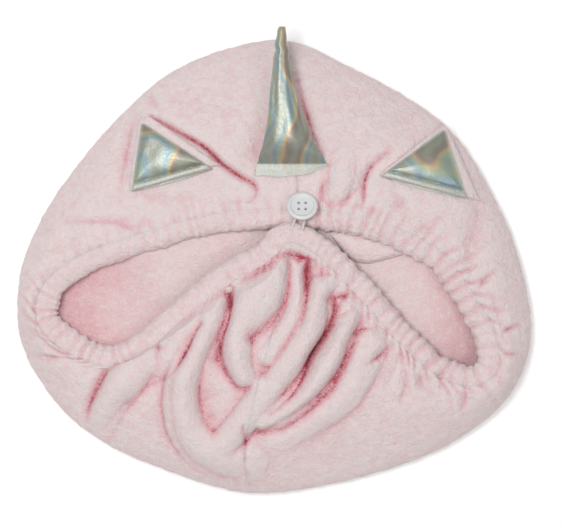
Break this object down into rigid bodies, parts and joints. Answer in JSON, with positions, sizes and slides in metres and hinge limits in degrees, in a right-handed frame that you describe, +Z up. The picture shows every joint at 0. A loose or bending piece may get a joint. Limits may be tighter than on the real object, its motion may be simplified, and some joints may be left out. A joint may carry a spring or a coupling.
{
  "type": "hair turban with horn and ears",
  "caption": "Plush bag-shaped hair turban lying flat, with a gathered elastic mouth buttoned up in the middle, foil ears and a stuffed foil horn.",
  "frame": {"origin": "middle of the footprint, on the surface that the turban lies on", "axes": "+X across the turban to the right with the horn pointing away, +Y towards the crown and the horn's tip, +Z up from the surface"},
  "size_m": [0.3002, 0.2734, 0.0466],
  "materials": {
    "plush": "pale pink coral fleece, short soft pile, matt with a soft sheen",
    "foil_cloth": "silver rainbow foil on cloth, glossy",
    "white_plastic": "smooth white moulded plastic",
    "white_thread": "white twisted sewing thread"
  },
  "bodies": {
    "root": {"right_panel": "plush", "left_panel": "plush", "elastic_casing": "plush", "ear_back_left": "plush", "ear_face_left": "foil_cloth", "ear_back_right": "plush", "ear_face_right": "foil_cloth", "horn": "foil_cloth", "button": "white_plastic", "button_thread": "white_thread", "button_loop": "white_thread"}
  },
  "joints": []
}
